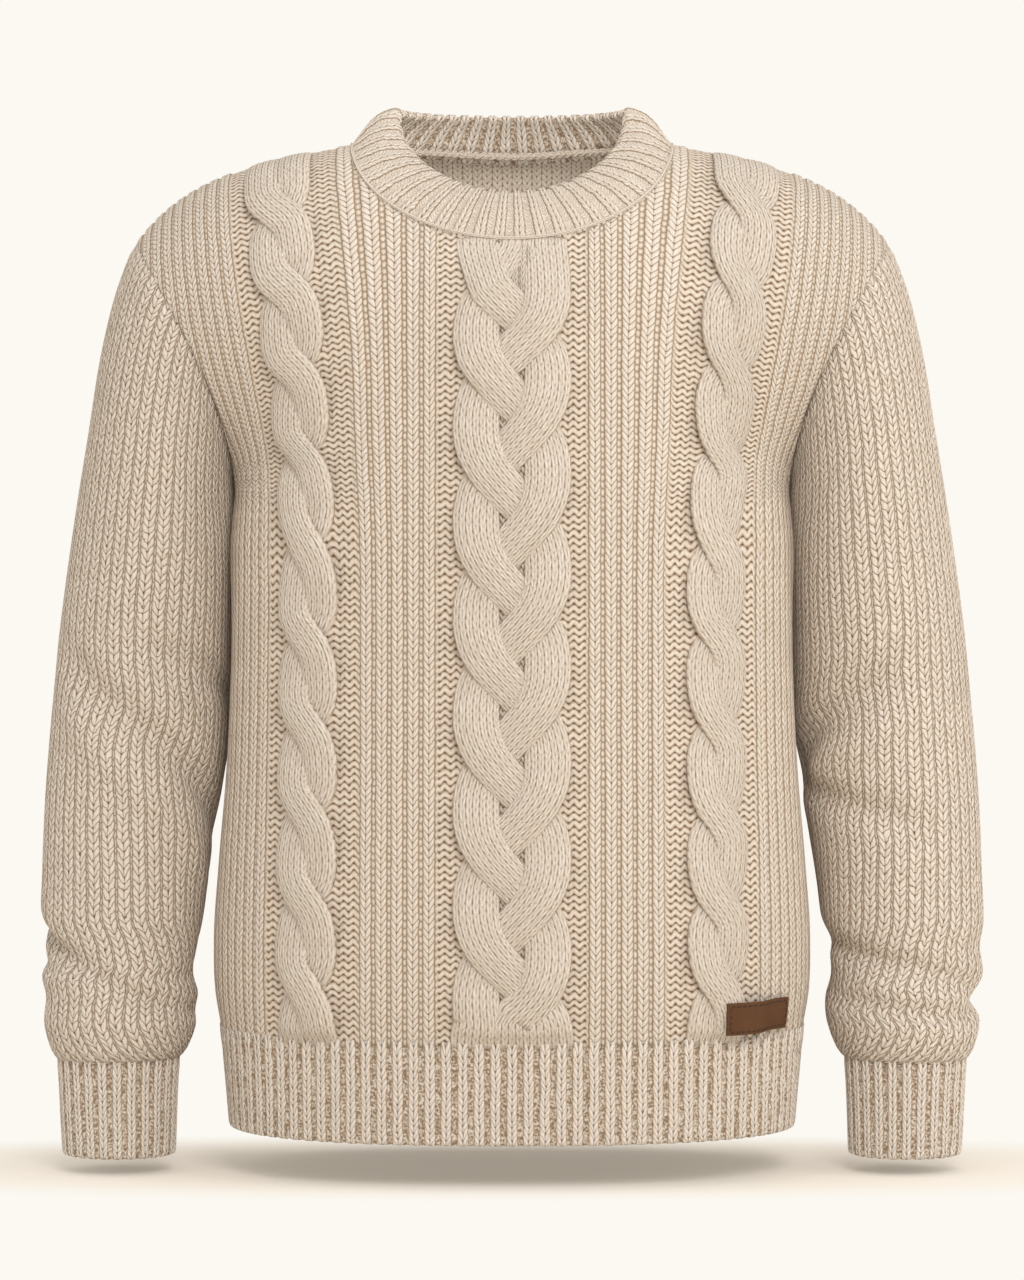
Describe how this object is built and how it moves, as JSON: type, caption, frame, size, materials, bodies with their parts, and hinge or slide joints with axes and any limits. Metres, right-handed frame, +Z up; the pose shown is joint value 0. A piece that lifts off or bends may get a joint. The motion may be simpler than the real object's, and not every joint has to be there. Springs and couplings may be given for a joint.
{
  "type": "cable knit sweater",
  "caption": "Crew-neck cable knit sweater with long sleeves, filled out hollow as if worn, with ribbed neckband, cuffs and hem and a small leather patch.",
  "frame": {"origin": "middle of the neck opening, level with the points where the shoulder seams meet the neckband", "axes": "+Z up, +X towards the wearer's left, -Y the front"},
  "size_m": [0.6585, 0.2792, 0.7328],
  "materials": {
    "oatmeal_wool": "chunky oatmeal wool knit, matte with a light fuzz",
    "brown_leather": "smooth dark brown leather, edge stitched"
  },
  "bodies": {
    "root": {"front": "oatmeal_wool", "back": "oatmeal_wool", "sleeve_left": "oatmeal_wool", "sleeve_right": "oatmeal_wool", "hem_front": "oatmeal_wool", "hem_back": "oatmeal_wool", "cuff_left": "oatmeal_wool", "cuff_right": "oatmeal_wool", "neckband": "oatmeal_wool", "neck_tape": "oatmeal_wool", "patch": "brown_leather"}
  },
  "joints": []
}
